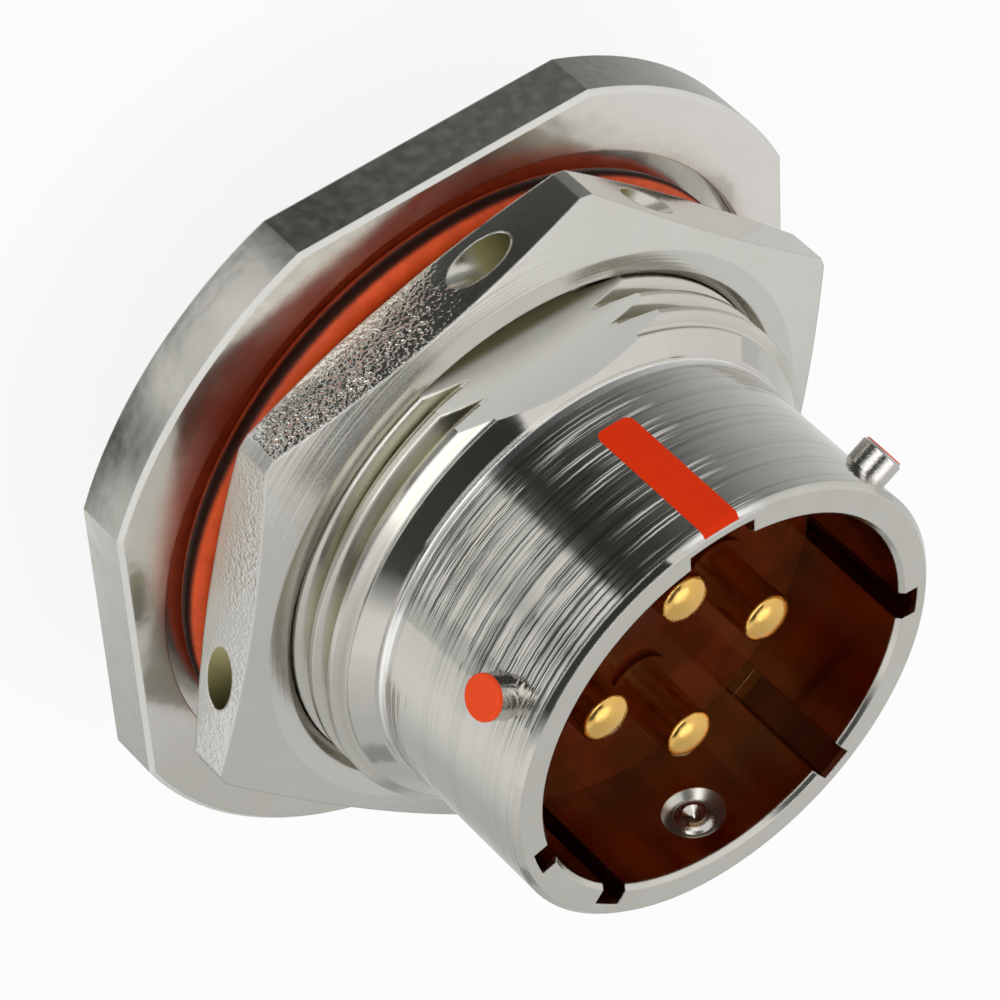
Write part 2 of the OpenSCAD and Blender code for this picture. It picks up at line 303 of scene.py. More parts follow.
# %% Lay the rings and strips
near_cover = [(-180, 0.15), (-170, 0.25), (-160, 0.27), (-148, 0.33), (-133, 0.42), (-105, 0.54),
              (-68, 0.5), (-35, 0.25), (0, 0.3), (20, 0.5), (40, 0.7), (60, 0.85), (91, 0.93),
              (107, 0.94), (113, 0.7), (118, 0.05), (125, 0.0), (144, 0.0), (151, 0.6),
              (158, 0.7), (166, 0.2)]
low_cover = [(-180, 0.1), (-160, 0.0), (-148, 0.08), (-128, 0.38), (-108, 0.45), (-88, 0.38),
             (-35, 0.2), (0, 0.28), (20, 0.42), (40, 0.62), (60, 0.82), (91, 0.96), (107, 0.97),
             (114, 0.88), (118, 0.0), (125, 0.0), (134, 0.1), (144, 0.3), (153, 0.0), (163, 0.0),
             (170, 0.3), (178, 0.3)]
ring_height = lowest + 0.4 * mm
strip_height = ring_height + 0.8 * mm
outer_ring_height = ring_height + 1.5 * mm
outer_strip_height = ring_height + 3 * mm
rings_meet_r, horizon_r, wall_top = 0.0335, 0.5, 0.1

flags = [flag("near_flag", [(0.022, ring_height), (rings_meet_r, ring_height)],
              -180, 180, near_cover),
         flag("low_flag", [(rings_meet_r, ring_height), (0.2, outer_ring_height),
                           (horizon_r, 0.0), (horizon_r, wall_top)], -180, 180, low_cover),
         flag("far_flag", [(0.053, outer_ring_height), (0.15, outer_strip_height)], 100, 200,
              [(-180, 0.4), (-165, 0.0), (100, 0.0), (113, 0.85), (150, 0.9), (175, 0.8)]),
         flag("steep_flag", [(0.0235, strip_height), (0.0278, strip_height)], 100, 178,
              [(105, 0.0), (118, 0.85), (165, 0.85), (178, 0.0)]),
         flag("mid_flag", [(0.0345, strip_height), (0.039, strip_height)], 108, 180,
              [(108, 0.0), (116, 0.85), (168, 0.85), (179, 0.0)])]
print("cards on the floor:", [piece.name for piece in flags])

# %% [markdown]
# ### Cards in the air
# A card above the lens darkens the bevels that face up and out. A tall pale one behind the
# connector greys the surfaces that look up past the mouth: the flange's face, the rim and
# the nut's cone. Lamps can't do this, because a lamp only adds light.

# %% Hang the high card and the back card
flags += [flag("high_flag", [(0.2, 0.155), (0.11, 0.26)], 84, 200,
               [(-180, 0.93), (-170, 0.5), (-161, 0.0), (83, 0.0), (84, 0.98), (180, 0.95)]),
          flag("back_flag", [(0.3, 0.03), (0.34, 0.2), (0.25, 0.33), (0.12, 0.4)], 215, 375,
               [(-145, 0.1), (-120, 0.36), (-76, 0.36), (-60, 0.24), (-40, 0.12), (15, 0.05)])]
print("cards in all:", len(flags))

# %% [markdown]
# ## Tools for the finishes
# Every finish here is made of nodes. A few small helpers keep them readable: one starts a
# material, some do sums, one turns a grey value into another range, one mixes two colours.
# A value may be a number or the output of a node, and feed() takes either.

# %% Helpers for node finishes
def new_finish(name):
    material = bpy.data.materials.new(name)
    material.use_nodes = True
    tree = material.node_tree
    return material, tree, tree.nodes["Principled BSDF"]

def feed(tree, source, socket):
    """Gives a socket a number or a link."""
    if isinstance(source, bpy.types.NodeSocket):
        tree.links.new(source, socket)
    else:
        socket.default_value = source

def calc(tree, operation, *values, clamp=False):
    node = add_node(tree, "ShaderNodeMath", operation=operation, use_clamp=clamp)
    for value, socket in zip(values, node.inputs):
        feed(tree, value, socket)
    return node.outputs[0]

def times(tree, first, *others):
    for other in others:
        first = calc(tree, "MULTIPLY", first, other)
    return first

def plus(tree, first, *others):
    for other in others:
        first = calc(tree, "ADD", first, other)
    return first

def without(tree, share):
    """1 where the share is 0, and 0 where it is 1."""
    return calc(tree, "SUBTRACT", 1.0, share)

def over(tree, value, limit):
    return calc(tree, "GREATER_THAN", value, limit)

def under(tree, value, limit):
    return calc(tree, "LESS_THAN", value, limit)

def between(tree, value, low, high):
    """1 where the value lies between two limits, else 0."""
    return times(tree, over(tree, value, low), under(tree, value, high))

print("sums: calc, times, plus, without, over, under, between")

# %% [markdown]
# ### Ranges, colours and noise
# A finish varies with noise, and a spot of noise should have a real size. Generated
# coordinates would stretch it with each piece's box, so it is made in millimetres from the
# Object coordinates. A Bump node turns a grey height into a surface that catches the light.

# %% Helpers for ranges, colours, noise and relief
def span(tree, value, low, high, to_low=0.0, to_high=1.0, smooth=False):
    """Spreads the range from low to high over the range from to_low to to_high."""
    node = add_node(tree, "ShaderNodeMapRange")
    node.interpolation_type = "SMOOTHSTEP" if smooth else "LINEAR"
    feed(tree, value, node.inputs["Value"])
    for key, number in (("From Min", low), ("From Max", high),
                        ("To Min", to_low), ("To Max", to_high)):
        node.inputs[key].default_value = number
    return node.outputs["Result"]

def blend_colours(tree, share, first, second):
    node = add_node(tree, "ShaderNodeMix", data_type="RGBA")
    feed(tree, share, node.inputs["Factor"])
    feed(tree, first, node.inputs[6])
    feed(tree, second, node.inputs[7])
    return node.outputs[2]

def layers(tree, colour, coats):
    """Lays coats, pairs of a share and a colour, one over the other."""
    for share, coat_colour in coats:
        colour = blend_colours(tree, share, colour, coat_colour)
    return colour

def object_place(tree):
    return add_node(tree, "ShaderNodeTexCoord").outputs["Object"]

def noise_at(tree, vector, detail):
    noise = add_node(tree, "ShaderNodeTexNoise")
    noise.inputs["Scale"].default_value = 1
    noise.inputs["Detail"].default_value = detail
    noise.inputs["Roughness"].default_value = 0.55
    tree.links.new(vector, noise.inputs["Vector"])
    return noise.outputs["Fac"]

def scaled(tree, place, per_mm, stretch=(1, 1, 1)):
    mapping = add_node(tree, "ShaderNodeMapping")
    mapping.inputs["Scale"].default_value = [part * per_mm / mm for part in stretch]
    tree.links.new(place, mapping.inputs["Vector"])
    return mapping.outputs[0]

def grain(tree, place, per_mm, detail=3.0, stretch=(1, 1, 1)):
    """Noise with about per_mm spots to the millimetre."""
    return noise_at(tree, scaled(tree, place, per_mm, stretch), detail)

def by_noise(tree, noise, low, high, smooth=False):
    """Noise seldom leaves 0.35 to 0.65, so that part is spread from low to high."""
    return span(tree, noise, 0.35, 0.65, low, high, smooth=smooth)

def relief(tree, height, depth, shader, edge=None):
    """Bumps the shader's surface by a height map whose full range is depth, in metres."""
    bump = add_node(tree, "ShaderNodeBump")
    bump.inputs["Strength"].default_value = 1.0
    bump.inputs["Distance"].default_value = depth
    tree.links.new(height, bump.inputs["Height"])
    if edge is not None:
        tree.links.new(edge, bump.inputs["Normal"])
    tree.links.new(bump.outputs[0], shader.inputs["Normal"])

print("helpers ready")

# %% [markdown]
# ## Turned nickel
# The shell is turned on a lathe and then plated, so its barrel keeps a fine set of rings
# under the nickel. An anisotropic shader alone would blur the reflections but show no rings.
# Here noise is squeezed along the axis and left long round it, from the radius and height of
# each point, and it lifts the surface by a few hundredths of a millimetre. A Bevel node
# softens the shading at the edges, which catch a thin line of light.

# %% Rings, edges and directions
radius_share = 1.37  # the pattern moves on along the radius too, so that faces get rings as well

def radius_height(tree, place):
    split = add_node(tree, "ShaderNodeSeparateXYZ")
    tree.links.new(place, split.inputs[0])
    x, y, z = split.outputs
    radius = calc(tree, "SQRT", plus(tree, times(tree, x, x), times(tree, y, y)))
    return x, y, z, radius

def lathe_rings(tree, place, per_mm, drift=0.05, detail=2.0):
    """Long thin streaks round Z, per_mm of them to the millimetre."""
    x, y, z, radius = radius_height(tree, place)
    join = add_node(tree, "ShaderNodeCombineXYZ")
    feed(tree, times(tree, x, drift / mm), join.inputs[0])
    feed(tree, times(tree, y, drift / mm), join.inputs[1])
    feed(tree, times(tree, plus(tree, z, times(tree, radius, radius_share)), per_mm / mm),
         join.inputs[2])
    return noise_at(tree, join.outputs[0], detail)

def soft_edge(tree, radius):
    """The surface's direction, rounded at the edges."""
    edge = add_node(tree, "ShaderNodeBevel", samples=4)
    edge.inputs["Radius"].default_value = radius
    return edge.outputs[0]

def facing(tree):
    """The three parts of the surface's own direction, in the object's frame."""
    split = add_node(tree, "ShaderNodeSeparateXYZ")
    tree.links.new(add_node(tree, "ShaderNodeTexCoord").outputs["Normal"], split.inputs[0])
    return split.outputs

print("ring and edge helpers ready")

# %% [markdown]
# ### Where the finishes change
# The shell is one piece of metal, but its surfaces don't look alike: the barrel is ringed, the
# bore looks brown, the flange is smooth and satin. It could be cut into material slots.
# A mask is simpler, because height, radius and direction tell every surface of a turned
# piece apart. Each mask is 1 on its own surface and 0 elsewhere.

# %% Masks for the shell's surfaces
skin_r = 10.75 * mm  # lies inside the barrel's wall, between its bore and its outside
keyway_r = 9.95 * mm
thread_root_r = (12.1 * mm, 12.5 * mm)
flange_top = 0.1 * mm
thread_z = (1.0 * mm, 7.4 * mm)
lead_in_z = (7.5 * mm, 8.5 * mm)
barrel_root_z = (8.48 * mm, 8.85 * mm)
barrel_z = (8.75 * mm, 9.1 * mm)
mouth_z = (9 * mm, 17.35 * mm)
flat_end_z = 8.4 * mm

def shell_zones(tree, spot):
    """spot is x, y, z and the radius; outward is 1 where a surface faces away from the axis."""
    x, y, z, radius = spot
    nx, ny, nz = facing(tree)
    outward = calc(tree, "DIVIDE", plus(tree, times(tree, x, nx), times(tree, y, ny)), radius)
    outside = over(tree, radius, skin_r)
    in_mouth = times(tree, between(tree, z, *mouth_z), without(tree, outside))
    sunk = between(tree, outward, -0.98, -0.3)
    bore = times(tree, calc(tree, "SUBTRACT", under(tree, outward, 0.3), sunk), in_mouth)
    blind_end = over(tree, nz, 0.3)
    key_flat = times(tree, over(tree, ny, 0.95), between(tree, z, flange_top, flat_end_z))
    flange = under(tree, z, flange_top)
    slope = times(tree, flange, between(tree, nz, 0.4, 0.95))
    return {
        "outside": outside,
        "barrel": times(tree, outside, span(tree, z, *barrel_z)),
        "pin_seat": times(tree, sunk, in_mouth),
        "bore": bore,
        "keyway": times(tree, bore, calc(tree, "MAXIMUM", over(tree, radius, keyway_r), blind_end)),
        "keyway_end": times(tree, bore, blind_end),
        "key_flat": key_flat,
        "flange": flange,
        # paler flange face: painted light, strongest on the +Y side
        "flange_face_lit_side": times(tree, flange, over(tree, nz, 0.9), span(tree, y, -8 * mm, 0.0)),
        "flange_side": times(tree, flange, under(tree, calc(tree, "ABSOLUTE", nz), 0.3)),
        "slope": slope,
        # the flange's outer broken edge is partly matt, and painted paler as a highlight
        "flange_edge": times(tree, slope, over(tree, outward, 0.2)),
        "lead_in": times(tree, outside, between(tree, z, *lead_in_z)),
        # a band at the barrel's root, painted paler as a highlight
        "barrel_root": times(tree, outside, between(tree, z, *barrel_root_z)),
        # the thread's roots, painted darker as shade
        "thread_root": times(tree, outside, between(tree, z, *thread_z),
                             span(tree, radius, *thread_root_r, 1.0, 0.0),
                             without(tree, key_flat)),
    }

print("bore from", round(mouth_z[0] / mm, 2), "to", round(mouth_z[1] / mm, 2), "mm")

# %% [markdown]
# ### Uneven rings, and a painted reflection
# The barrel doesn't look even all round. Beside the stripe thin bright matt lines cross it, on the
# right and at the left its rings hardly show, and some rings are darker. Such marks could be
# painted by hand into an image, but masks made from the piece's own coordinates need no file and
# stay sharp from close by. One of these masks stands for light, not for the metal. It is a soft
# red patch, a painted reflection on the flange's lip where the O-ring's reflection shows in the
# main view. It stays put when the view moves, which a reflection doesn't, and it is redder than
# the real lip. The shader mirrors the ring by itself, and a glow_share of 0 leaves the lip to it.

# %% Masks for uneven rings and the painted red reflection
worn_right_x, worn_left_x = (1.0 * mm, 4.5 * mm), (-10.6 * mm, -9.2 * mm)
lower_side_y, lower_side_rings = -2 * mm, 0.6
bright_lines_from_x, bright_lines_to_x = (-3.8 * mm, -2.2 * mm), (1.0 * mm, 2.4 * mm)
glow_side = (-0.64, 0.77)
glow_reach, glow_fade, glow_share = (16.5 * mm, 18.3 * mm), 1.6 * mm, 0.6
lip_r, lip_z = 15.6 * mm, (-0.05 * mm, 0.05 * mm)

def shell_marks_and_painted_light(tree, place, spot, zone):
    x, y, z, radius = spot
    upper_side = times(tree, span(tree, x, *worn_right_x, 1.0, 0.35),
                       span(tree, x, *worn_left_x, 0.2, 1.0))
    lower_side = times(tree, under(tree, y, lower_side_y), lower_side_rings)
    rings_left = calc(tree, "MAXIMUM", upper_side, lower_side)
    # beside the stripe, thin bright matt lines cross the barrel
    beside_key = times(tree, over(tree, y, 0.0), span(tree, x, *bright_lines_from_x),
                       span(tree, x, *bright_lines_to_x, 1.0, 0.0))
    bright_line_noise = span(tree, lathe_rings(tree, place, 6.3, drift=0.12, detail=1.0), 0.55, 0.66)
    dull_rings = span(tree, lathe_rings(tree, place, 5.5, drift=0.04, detail=1.0), 0.52, 0.72)
    rub = span(tree, grain(tree, place, 1.8), 0.4, 0.7, 0.0, 0.07)
    towards_glow = calc(tree, "DIVIDE", plus(tree, times(tree, x, glow_side[0]),
                                             times(tree, y, glow_side[1])), radius)
    reach = span(tree, towards_glow, 0.6, 1.0, *glow_reach)
    near_ring = calc(tree, "DIVIDE", calc(tree, "SUBTRACT", reach, radius), glow_fade, clamp=True)
    on_lip = times(tree, between(tree, z, *lip_z), over(tree, radius, lip_r))
    return {
        "rings_left": rings_left,
        "bright_lines": times(tree, zone["barrel"], bright_line_noise, beside_key),
        "dull": times(tree, zone["barrel"], dull_rings, rings_left),
        "rubbed": times(tree, zone["flange_side"], rub),
        # a painted reflection of the O-ring on the flange's lip
        "ring_glow": times(tree, on_lip, near_ring, glow_share),
    }

print("flange lip starts at radius", round(lip_r / mm, 2), "mm")

# %% [markdown]
# ### The shell's colour
# Nickel is a warm grey, and each surface shades it in its own way. One colour ramp could hold
# all the tones, but it would need one grey value to choose between them. So the tones are
# laid over each other like coats, each through its own mask. Several coats are painted light.
# The flange's face is painted paler towards +Y, the flange's broken edge and the barrel's root
# get a painted highlight, and the D-flat is painted pale, with an olive painted shade below,
# beside the nut. The thread's roots and the keyways are painted darker as shade. The bore is
# brown in streaks, and the keyways' blind ends lie in deep shade, helped by a dark tone.

# %% Colours of the shell
nickel_tint, nickel_shade = (0.62, 0.605, 0.56, 1), (0.555, 0.545, 0.49, 1)
dull_grey = (0.30, 0.30, 0.27, 1)
# the flange's face is painted paler as light on its +Y side, and its broken edge paler as a painted
# highlight
flange_painted_light, edge_painted_highlight = (0.76, 0.74, 0.69, 1), (0.76, 0.75, 0.71, 1)
pale_metal = (0.90, 0.89, 0.86, 1)
glow_red = (0.68, 0.23, 0.11, 1)
# the D-flat is painted pale as light, and olive below as shade beside the nut
flat_painted_light, flat_painted_shade = (0.90, 0.89, 0.85, 1), (0.34, 0.325, 0.19, 1)
# the thread's roots get a painted olive shade, and the barrel's root a painted highlight
thread_root_painted_shade, barrel_root_painted_highlight = (0.50, 0.49, 0.38, 1), (0.95, 0.94, 0.92, 1)
# the bore's brown tones, laid in streaks
bore_brown_light, bore_brown_deep = (0.60, 0.30, 0.085, 1), (0.47, 0.225, 0.065, 1)
# the keyways are painted darker brown as shade, and their blind ends darker still
keyway_painted_shade, keyway_dark = (0.26, 0.12, 0.04, 1), (0.07, 0.03, 0.012, 1)
flat_shade_z = (4.15 * mm, 4.65 * mm)

def shell_colour(tree, place, z, zone, marks_and_painted_light):
    nickel = blend_colours(tree, grain(tree, place, 0.5), nickel_tint, nickel_shade)
    # 1 above the D-flat's painted shade, 0 within it
    out_of_flat_shade = span(tree, z, *flat_shade_z, smooth=True)
    streaks = span(tree, grain(tree, place, 0.45, stretch=(1, 1, 0.25)), 0.4, 0.6, smooth=True)
    return layers(tree, nickel, (
        (marks_and_painted_light["dull"], dull_grey),
        (zone["flange_face_lit_side"], flange_painted_light),
        (calc(tree, "MAXIMUM", marks_and_painted_light["bright_lines"], marks_and_painted_light["rubbed"]), pale_metal),
        (zone["flange_edge"], edge_painted_highlight),
        (marks_and_painted_light["ring_glow"], glow_red),
        (zone["key_flat"], blend_colours(tree, out_of_flat_shade, flat_painted_shade, flat_painted_light)),
        (zone["thread_root"], thread_root_painted_shade),
        (zone["barrel_root"], barrel_root_painted_highlight),
        (zone["bore"], blend_colours(tree, streaks, bore_brown_light, bore_brown_deep)),
        (zone["keyway"], keyway_painted_shade),
        (zone["keyway_end"], keyway_dark)))

print("nickel:", nickel_tint[:3], "to", nickel_shade[:3])

# %% [markdown]
# ### The shell's surface
# Each surface also has its own gloss: the barrel is the brightest, the flange is satin, and
# the D-flat and the flange's broken edge are partly matt. Mixing whole shaders would do this
# too, but sums on the roughness and on the metal share keep it to one shader. The rings go
# into one height map, strong on the barrel and faint on the thread.

# %% Finish of the shell
shell_relief = 0.05 * mm
barrel_rings, thread_rings = 0.75, 0.1  # shares of the relief
fine_grain = 0.004

def turned_nickel():
    material, tree, shader = new_finish("turned_nickel")
    place = object_place(tree)
    spot = radius_height(tree, place)
    zone = shell_zones(tree, spot)
    marks_and_painted_light = shell_marks_and_painted_light(tree, place, spot, zone)
    tree.links.new(shell_colour(tree, place, spot[2], zone, marks_and_painted_light), shader.inputs["Base Color"])

    matt = plus(tree, times(tree, zone["key_flat"], 0.4), times(tree, marks_and_painted_light["bright_lines"], 0.6),
                marks_and_painted_light["rubbed"], times(tree, zone["flange_edge"], 0.22))
    tree.links.new(without(tree, matt), shader.inputs["Metallic"])

    mottle, fine = grain(tree, place, 0.45, detail=2.5), grain(tree, place, 12)
    rough = plus(tree, span(tree, zone["flange"], 0, 1, 0.15, 0.22),
                 by_noise(tree, mottle, -0.03, 0.04),
                 times(tree, zone["barrel"], -0.08), times(tree, marks_and_painted_light["ring_glow"], 0.22),
                 times(tree, zone["key_flat"], 0.28), times(tree, zone["slope"], 0.35),
                 times(tree, zone["lead_in"], -0.08), times(tree, zone["pin_seat"], 0.14))
    tree.links.new(rough, shader.inputs["Roughness"])

    rings = calc(tree, "SUBTRACT", lathe_rings(tree, place, 4.8, drift=0.04, detail=1.3), 0.5)
    uneven = span(tree, grain(tree, place, 0.5, detail=1.0), 0.36, 0.64, 0.4, 1.3)
    on_barrel = times(tree, zone["barrel"], marks_and_painted_light["rings_left"], uneven, barrel_rings)
    on_thread = times(tree, without(tree, zone["flange"]), zone["outside"], thread_rings)
    height = plus(tree, times(tree, rings, plus(tree, on_barrel, on_thread)),
                  times(tree, fine, fine_grain), times(tree, mottle, zone["flange"]))
    relief(tree, height, shell_relief, shader, edge=soft_edge(tree, 0.1 * mm))
    return material

# %% [markdown]
# ## Dressing a solid
# The solid of the shell is already right, down to the keyways and the dents. A new mesh could
# stand in for it, but that is only needed where a shape is wrong. So its mesh stays as it is,
# and the new finish takes the place of the plain material in its slot.

# %% Dress the shell
def dress(node, material):
    """Puts a finish on a CAD solid."""
    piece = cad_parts[node]
    for slot in piece.material_slots:
        slot.material = material
    if not piece.material_slots:
        piece.data.materials.append(material)

dress("shell", turned_nickel())
print("shell dressed in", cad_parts["shell"].material_slots[0].material.name)

# %% [markdown]
# ## The nut's plating
# The nut looks cut from hexagonal bar: its flats are pitted, as if they were etched, and
# sparkle, while the faces that the lathe touched are smooth. Its faces could be given two
# materials, but one can do both, because the direction of the surface and the distance from
# the axis tell the flats apart.

# %% Masks for the nut's surfaces
flat_direction = math.radians(46.5)
flats_r = 13.6 * mm  # everything further out belongs to the hexagon or its holes
nut_bore_r = 13.4 * mm
holes_z, holes_r = (2.0 * mm, 3.95 * mm), (13.6 * mm, 16.3 * mm)
shaded_mouth_x = (-13 * mm, -12 * mm)  # beyond this, a hole is painted in shade up to its mouth

def six_fold(tree, across, up):
    """1 at the middle of each flat and -1 at each corner, for a direction or a place."""
    angle = calc(tree, "SUBTRACT", calc(tree, "ARCTAN2", up, across), flat_direction)
    return calc(tree, "COSINE", times(tree, angle, 6.0))

def nut_zones(tree, spot):
    x, y, z, radius = spot
    nx, ny, nz = facing(tree)
    upright = under(tree, calc(tree, "ABSOLUTE", nz), 0.3)
    flats = times(tree, upright, over(tree, six_fold(tree, nx, ny), 0.94),
                  over(tree, radius, flats_r))
    unshaded_mouth = times(tree, span(tree, six_fold(tree, x, y), 0.0, 0.3, 0.0, 0.9),
                        span(tree, x, *shaded_mouth_x))
    return {
        "flats": flats,
        "bore": times(tree, upright, under(tree, radius, nut_bore_r)),
        "holes": times(tree, without(tree, flats), between(tree, z, *holes_z),
                       between(tree, radius, *holes_r), without(tree, unshaded_mouth)),
    }

print("flats lie outside radius", round(flats_r / mm, 2), "mm")

# %% [markdown]
# ### Pits
# The flats look etched, with round pits. Noise alone looks like sand, so Voronoi cells give
# the pits round floors and noise makes them uneven. It isn't the same on all six flats: one
# looks nearly smooth, and every flat is smoother towards the flange.

# %% Height of the etched skin
cells_share, noise_share, etch_strength = 0.45, 0.9, 1.1
flat_worn_x = (-2.5 * mm, 0.5 * mm)
flat_worn_left_x = (-13.2 * mm, -11.8 * mm)
etched_z = (2.0 * mm, 3.4 * mm)

def pits(tree, place, per_mm):
    """Round pits, per_mm of them to the millimetre."""
    cells = add_node(tree, "ShaderNodeTexVoronoi", feature="SMOOTH_F1")
    cells.inputs["Scale"].default_value = 1
    tree.links.new(scaled(tree, place, per_mm), cells.inputs["Vector"])
    return cells.outputs["Distance"]

def etching(tree, place, spot):
    x, y, z, radius = spot
    cells = span(tree, pits(tree, place, 5.4), 0.1, 0.55, smooth=True)
    coarse = plus(tree, times(tree, cells, cells_share),
                  times(tree, grain(tree, place, 5.0, detail=1.0), noise_share))
    patchy = span(tree, grain(tree, place, 0.22), 0.42, 0.58, 0.4, 1.0)
    kept = times(tree, span(tree, plus(tree, x, times(tree, y, 0.1)), *flat_worn_x, 1.0, 0.06),
                 span(tree, x, *flat_worn_left_x, 0.4, 1.0))
    return times(tree, coarse, span(tree, z, *etched_z, 0.15, 1.0), patchy, kept, etch_strength)

print("cells and noise:", cells_share, noise_share)

# %% [markdown]
# ### Plating and painted shade
# The nut's nickel is a little paler than the shell's. The bore and the lockwire holes are
# painted olive inside as shade, and the shade fades out at the holes' mouths, where bright
# metal shows. A darker colour alone would look like tinted chrome. The painted shade is no
# metal, so the metal share falls with it.

# %% Finish of the nut
nut_tint, nut_shade = (0.66, 0.65, 0.61, 1), (0.60, 0.59, 0.54, 1)
# the nut's holes and bore are painted olive inside as shade
hole_painted_shade, nut_bore_painted_shade = (0.36, 0.33, 0.15, 1), (0.54, 0.52, 0.40, 1)
nut_relief = 0.09 * mm
cone_rings = 0.11  # share of the relief

def pitted_nickel():
    material, tree, shader = new_finish("pitted_nickel")
    place = object_place(tree)
    spot = radius_height(tree, place)
    zone = nut_zones(tree, spot)
    nickel = blend_colours(tree, grain(tree, place, 0.5), nut_tint, nut_shade)
    colour = layers(tree, nickel, ((zone["holes"], hole_painted_shade), (zone["bore"], nut_bore_painted_shade)))
    painted_shade_inside = calc(tree, "MAXIMUM", zone["bore"], zone["holes"])
    fine = grain(tree, place, 11)
    rough = plus(tree, by_noise(tree, fine, 0.19, 0.25), times(tree, painted_shade_inside, 0.25),
                 times(tree, zone["flats"], -0.12))
    wire(tree, (colour, shader.inputs["Base Color"]), (rough, shader.inputs["Roughness"]),
         (span(tree, painted_shade_inside, 0, 1, 1.0, 0.3), shader.inputs["Metallic"]))

    turned = times(tree, without(tree, zone["flats"]), lathe_rings(tree, place, 3.0, drift=0.03),
                   cone_rings)
    height = plus(tree, times(tree, etching(tree, place, spot), zone["flats"]), turned,
                  times(tree, fine, fine_grain))
    relief(tree, height, nut_relief, shader, edge=soft_edge(tree, 0.14 * mm))
    return material

dress("jam_nut", pitted_nickel())
print("nut dressed in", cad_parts["jam_nut"].material_slots[0].material.name)

# %% [markdown]
# ## Rubber
# The O-ring is orange silicone with a satin skin, and its outer side, where it tucks into the
# groove, lies in deep shade, helped by a dark tone. The seal behind the pins is taken for the
# same rubber, moulded glossy and dark red, and it mirrors the bore round it. Subsurface scattering
# could soften them, but rubber this dense shows none. Both get slow clouds of a second tone
# and a faint orange-peel surface: a perfectly smooth one would look like glass.

# %% Finishes of the O-ring and the seal
ring_orange, ring_red = (0.70, 0.083, 0.015, 1), (0.59, 0.066, 0.012, 1)
ring_shade = (0.02, 0.005, 0.002, 1)
seal_red, seal_brown = (0.105, 0.013, 0.003, 1), (0.055, 0.007, 0.0015, 1)

def silicone(name, light, dark, clouds, rough, depth, shine, shade=None):
    """Rubber; shade is a colour and the two radii between which it fades in."""
    material, tree, shader = new_finish(name)
    place = object_place(tree)
    cloud = by_noise(tree, grain(tree, place, clouds), 0, 1, smooth=True)
    fine = grain(tree, place, 9)
    colour = blend_colours(tree, cloud, light, dark)
    if shade:
        shade_colour, begins_r, full_r = shade
        radius = radius_height(tree, place)[-1]
        colour = blend_colours(tree, span(tree, radius, begins_r, full_r, smooth=True), colour,
                               shade_colour)
    wire(tree, (colour, shader.inputs["Base Color"]),
         (by_noise(tree, fine, *rough), shader.inputs["Roughness"]))
    shader.inputs["Specular IOR Level"].default_value = shine
    relief(tree, fine, depth, shader)
    return material

dress("o_ring", silicone("o_ring_silicone", ring_orange, ring_red, clouds=1.2, rough=(0.36, 0.5),
                         depth=0.01 * mm, shine=0.2, shade=(ring_shade, 15.00 * mm, 15.11 * mm)))
dress("interfacial_seal", silicone("seal_silicone", seal_red, seal_brown, clouds=0.3,
                                   rough=(0.1, 0.2), depth=0.004 * mm, shine=0.08))
print("rubber finishes made")

# %% [markdown]
# ## Gold, glass and steel
# The contacts are gold plated and bright, with the faint unevenness of the plating. The
# glass that holds them is nearly black. The bayonet pins are plain steel. Each could be one
# flat colour, but two close tones and a roughness that wanders make it look like metal that
# was handled.

# %% Finishes of the contacts, the glass beads and the bayonet pins
gold_light, gold_deep = (0.80, 0.51, 0.15, 1), (0.72, 0.43, 0.12, 1)
glass_dark, glass_swirl = (0.012, 0.03, 0.035, 1), (0.03, 0.05, 0.05, 1)
steel_light, steel_dark = (0.62, 0.60, 0.57, 1), (0.5, 0.485, 0.46, 1)

def plated_gold():
    material, tree, shader = new_finish("plated_gold")
    place = object_place(tree)
    shader.inputs["Metallic"].default_value = 1
    tone = blend_colours(tree, grain(tree, place, 1.5), gold_light, gold_deep)
    wire(tree, (tone, shader.inputs["Base Color"]),
         (by_noise(tree, grain(tree, place, 8), 0.14, 0.24), shader.inputs["Roughness"]))
    relief(tree, grain(tree, place, 5), 0.006 * mm, shader)
    return material

def sealing_glass():
    material, tree, shader = new_finish("sealing_glass")
    swirl = grain(tree, object_place(tree), 0.9, detail=4.0)
    wire(tree, (blend_colours(tree, swirl, glass_dark, glass_swirl), shader.inputs["Base Color"]))
    shader.inputs["Roughness"].default_value = 0.08
    shader.inputs["Coat Weight"].default_value = 0.5
    relief(tree, swirl, 0.02 * mm, shader)
    return material

def pin_steel():
    material, tree, shader = new_finish("pin_steel")
    shader.inputs["Metallic"].default_value = 1
    fine = grain(tree, object_place(tree), 10)
    wire(tree, (blend_colours(tree, fine, steel_light, steel_dark), shader.inputs["Base Color"]),
         (by_noise(tree, fine, 0.16, 0.28), shader.inputs["Roughness"]))
    relief(tree, fine, 0.008 * mm, shader)
    return material

gold, glass, steel = plated_gold(), sealing_glass(), pin_steel()
for letter in "abcd":
    dress("contact_" + letter, gold)
    dress("glass_bead_" + letter, glass)
for side_name in ("left", "right", "bottom"):
    dress("bayonet_pin_" + side_name, steel)
print("contacts, beads and bayonet pins dressed")

# %% [markdown]
# ## Red paint
# The stripe and the ends of the pins are painted in a thick red gloss, so saturated that a
# strong highlight would turn it pink. A clear coat could give it shine, but the real one shows
# hardly any, so it has a low specular level instead and a roughness that wanders a little.

# %% Finish of the paint
def gloss_red(name, light, dark):
    material, tree, shader = new_finish(name)
    place = object_place(tree)
    cloud = grain(tree, place, 1.0)
    wire(tree, (blend_colours(tree, cloud, light, dark), shader.inputs["Base Color"]),
         (by_noise(tree, grain(tree, place, 6), 0.28, 0.4), shader.inputs["Roughness"]))
    shader.inputs["Specular IOR Level"].default_value = 0.06
    relief(tree, cloud, 0.01 * mm, shader)
    return material

